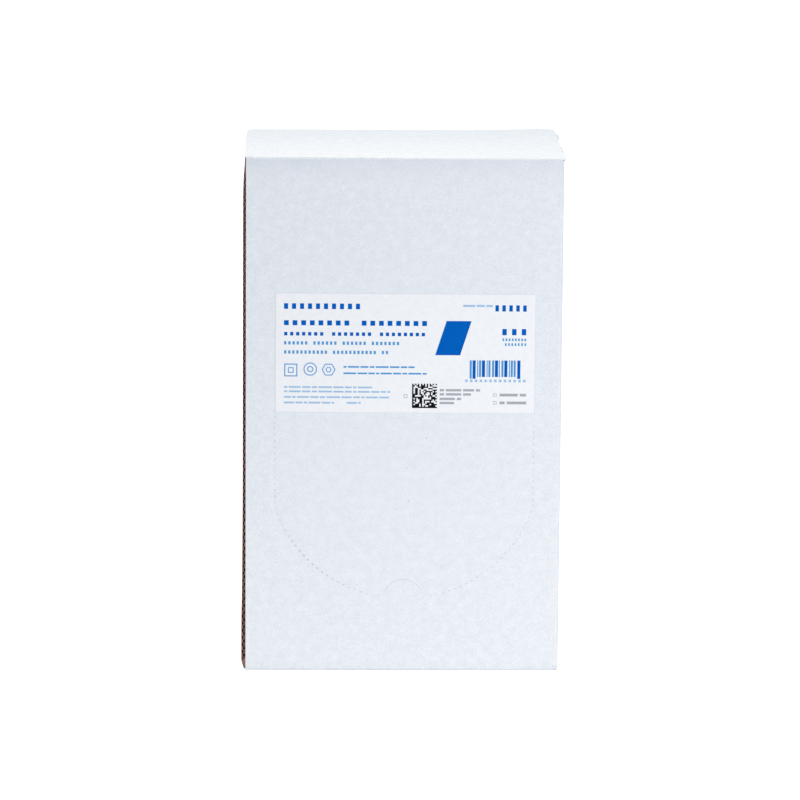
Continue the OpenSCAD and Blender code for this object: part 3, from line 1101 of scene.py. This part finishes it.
# %% Layout of the type, in millimetres from the label's lower left corner
# Large type: its left and right end, its middle's height, its own height, the distance from one
# letter to the next, and the letters to a word. Small type: the first four of these.
large_type = {
    "label_heading": (blue_ink, [
        (3.9, 39.8, 51.1, 2.7, 3.6, 20), (3.9, 71.5, 43.1, 2.4, 4.2, 8), (4.0, 70.6, 37.8, 1.7, 2.85, 7),
        (103.8, 118.6, 50.6, 3.0, 3.05, 20), (107.2, 118.5, 39.2, 3.0, 3.9, 20),
    ]),
    "label_subheading": (blue_type, [
        (4.0, 58.4, 33.4, 1.6, 2.0, 6), (4.0, 53.2, 29.0, 1.6, 1.95, 11),
        (107.3, 118.5, 35.5, 1.3, 1.45, 20), (108.5, 118.5, 33.2, 1.3, 1.45, 20),
    ]),
    "label_number_line": (pale_type, [(89.8, 118.5, 15.6, 1.3, 2.3, 20)]),
}
small_type = {
    "label_notice": (blue_type, [(32.1, 65.8, 22.0, 0.8), (32.1, 71.5, 18.9, 0.8)]),
    "label_small_print": (pale_type, [
        (88.5, 102.6, 51.7, 1.0), (4.0, 45.7, 12.1, 0.85), (4.0, 54.3, 10.0, 0.85), (4.0, 53.8, 7.3, 0.85),
        (4.0, 27.7, 4.6, 0.85), (33.7, 40.4, 4.6, 0.85),
    ]),
    "label_batch_print": (grey_type, [
        (77.8, 96.9, 11.0, 1.1), (77.8, 92.6, 9.0, 1.1), (77.8, 88.0, 6.8, 1.1),
        (77.8, 84.7, 4.8, 1.1), (106.2, 118.8, 8.8, 1.3), (106.2, 118.9, 5.0, 1.3),
    ]),
}
for kinds, draw in ((large_type, letter_blocks), (small_type, word_bars)):
    for name, (ink, lines) in kinds.items():
        marks = [mark for one in lines for mark in draw(*one)]
        piece(name, together(marks), [ink])

# %% Stripes and squares
def stripes():
    """Upright stripes 1 to 3 modules wide, as one list of the thin ones and one of the broadest.

    The broadest are solid ink, and the others are fine enough to read paler.
    """
    start, end = 91.9, 116.0
    low_foot, foot, head = 16.6, 17.5, 25.5    # the stripes at either end reach further down
    module, gap = 0.5, 0.36
    widths, gaps = (2, 3, 1, 2, 3, 1, 2), (1, 2, 1, 1, 2)
    x, i = start, 0
    thin, broad = [], []
    while x < end:
        width = widths[i % len(widths)] * module
        stripe = ink_patch(x, x + width, low_foot if i < 2 or x > end - 2 else foot, head)
        (broad if width > 2 * module else thin).append(stripe)
        x += width + gaps[i % len(gaps)] * gap
        i += 1
    return thin, broad


def squares():
    """A block of small squares, filled where a chance number is over 0.42.

    The number is the fraction of 43758.5 sin(12.9 row + 78.2 column). The block's left and bottom
    edges are solid, and the other two have every second square.
    """
    corner_x, corner_z, across, cells = 64.7, 2.3, 11.8, 17
    side = across / cells
    number = np.arange(cells)
    chance = 43758.5 * np.sin(12.9 * number[:, None] + 78.2 * number[None, :])
    filled = chance - np.floor(chance) > 0.42
    filled[0, :] = filled[:, 0] = True
    filled[-1, :] = filled[:, -1] = number % 2 == 0
    made = []
    for row, column in np.argwhere(filled):
        x0, x1 = (corner_x + k * side for k in (column, column + 1))
        z0, z1 = (corner_z + k * side for k in (row, row + 1))
        made.append(ink_patch(x0, x1, z0, z1))
    return made


thin_stripes, broad_stripes = stripes()
piece("label_colour_field", ink_patch(75.5, 87.3, 27.9, 44.4, lean=5.3), [blue_ink])
piece("label_stripes", together(broad_stripes), [blue_ink])
piece("label_thin_stripes", together(thin_stripes), [blue_type])
piece("label_squares", together(squares()), [black_ink])

# %% Outlines
# Each has its centre, its radius, the width of its line, its number of sides and its turn in degrees.
outlines = {
    "label_outlines": (blue_type, [
        (7.2, 20.3, 4.4, 0.75, 4, 45), (7.2, 20.3, 1.9, 0.6, 4, 45),
        (16.4, 20.8, 3.2, 0.5, 40), (16.4, 20.8, 1.5, 0.5, 24),
        (25.1, 20.6, 3.3, 0.55, 6), (25.1, 20.6, 1.5, 0.5, 6),
    ]),
    "label_small_outlines": (grey_type, [
        (61.6, 8.0, 1.2, 0.35, 4, 45), (104.0, 8.8, 1.1, 0.35, 4, 45), (104.0, 5.0, 1.1, 0.35, 4, 45),
    ]),
}
for name, (ink, rings) in outlines.items():
    piece(name, together([ring_patch(*ring) for ring in rings]), [ink])

# %% [markdown]
# ## Floor, light and camera
#
# The carton stands on a plain pale floor. Four soft lights, behind it, over it and to either side,
# give its faces their different tones, a card that lies before it throws a little light up, and an
# even white sky fills the shadows. The background should be white without putting more light on
# the carton, so the sky and the floor are made lighter only for rays that come straight from the
# camera or by way of a reflection.

# %% Floor and sky
def seen_directly(tree):
    """1 for camera, glossy and transmission rays, and 0 for the light that falls on things."""
    path = add_node(tree, "ShaderNodeLightPath")
    seen = path.outputs["Is Camera Ray"]
    for kind in ("Is Glossy Ray", "Is Transmission Ray"):
        seen = add_node(tree, "ShaderNodeMath", {"operation": "MAXIMUM"}, _0=seen, _1=path.outputs[kind])
    return seen


def make_floor():
    """A pale matt studio floor, 16 metres across, that keeps a soft shadow."""
    reach = 8.0
    corners = [(-reach, -reach, 0), (reach, -reach, 0), (reach, reach, 0), (-reach, reach, 0)]
    mesh = bpy.data.meshes.new("studio_floor")
    mesh.from_pydata(corners, [], [(0, 1, 2, 3)])
    floor = bpy.data.objects.new("studio_floor", mesh)
    bpy.context.scene.collection.objects.link(floor)
    material, tree = new_material("pale_studio_floor")
    glow = add_node(tree, "ShaderNodeMath", of_product, _0=seen_directly(tree), _1=0.7)
    shader = add_node(tree, "ShaderNodeBsdfPrincipled", None, Base_Color=linear("#F2F3F5"), Roughness=0.9,
                      Specular_IOR_Level=0.0, Emission_Color=(1, 1, 1, 1), Emission_Strength=glow)
    add_node(tree, "ShaderNodeOutputMaterial", None, Surface=shader)
    mesh.materials.append(material)


def make_sky(strength):
    """An even sky with a trace of blue: strength 1 where it is seen, and the given one as light."""
    world = bpy.data.worlds.new("studio_sky")
    bpy.context.scene.world = world
    world.use_nodes = True
    tree = world.node_tree
    tree.nodes.clear()
    as_light = add_node(tree, "ShaderNodeMapRange", None,
                        Value=seen_directly(tree), To_Min=strength, To_Max=1.0)
    faint_blue = (0.949, 0.984, 1.0, 1.0)    # linear already
    background = add_node(tree, "ShaderNodeBackground", None, Color=faint_blue, Strength=as_light)
    add_node(tree, "ShaderNodeOutputWorld", None, Surface=background)


make_floor()
make_sky(0.605)


# %% Lamps
def soft_light(name, place, width, depth, power, aim, tint="#FFFFFF"):
    """A rectangular soft light at place, in metres, that shines towards aim and is not seen itself."""
    data = bpy.data.lights.new(name, "AREA")
    data.shape = "RECTANGLE"
    data.size, data.size_y = width, depth
    data.energy = power
    data.color = linear(tint)[:3]
    lamp = bpy.data.objects.new(name, data)
    bpy.context.scene.collection.objects.link(lamp)
    lamp.location = place
    lamp.visible_camera = False
    lamp.rotation_mode = "QUATERNION"
    lamp.rotation_quaternion = (Vector(aim) - Vector(place)).to_track_quat("-Z", "Y")


carton_middle = (0, 0, mid_height * MM)
card_from, card_to = -0.30, (front - 0.4) * MM     # the card lies on the floor before the carton
card_middle = (card_from + card_to) / 2
soft_light("high_back_softbox", (0.0, 0.6, 1.0), 0.7, 0.7, 3.4, carton_middle)
soft_light("strip_over_the_top", (0.0, -0.06, 0.38), 0.4, 0.05, 0.13, (0.0, -0.06, 0.0), "#FFE9CF")
soft_light("front_right_softbox", (0.30, -0.60, 0.12), 0.4, 0.4, 1.31, carton_middle, "#FFFAF7")
soft_light("left_side_softbox", (-0.8, 0.08, 0.12), 0.24, 0.24, 1.4, (0.0, 0.08, 0.12))
soft_light("bounce_card", (0.0, card_middle, 0.0003), 0.7, card_to - card_from, 0.213,
           (0.0, card_middle, 1.0), "#FFF2E4")
print("four soft lights, a bounce card and an even sky")

# %% [markdown]
# The carton is seen from two and a half metres away through a long lens, a little from above and
# from very slightly to its left, so its upright edges stay nearly parallel.

# %% Camera
view_from = (-0.05135, -2.4888, 0.6347)
turn, pitch, roll = radians(-1.1831), radians(-11.6171), radians(-0.429)
camera_data = bpy.data.cameras.new("camera")
camera_data.lens = 236.8
camera_data.sensor_width = 36
camera_data.clip_end = 50
camera = bpy.data.objects.new("camera", camera_data)
bpy.context.scene.collection.objects.link(camera)
aimed = Matrix.Rotation(turn, 4, "Z") @ Matrix.Rotation(pitch, 4, "X") @ Matrix.Rotation(roll, 4, "Y")
camera.matrix_world = Matrix.Translation(view_from) @ aimed @ Matrix.Rotation(pi / 2, 4, "X")
bpy.context.scene.camera = camera
bpy.context.scene.view_settings.view_transform = "Standard"
print("camera set")
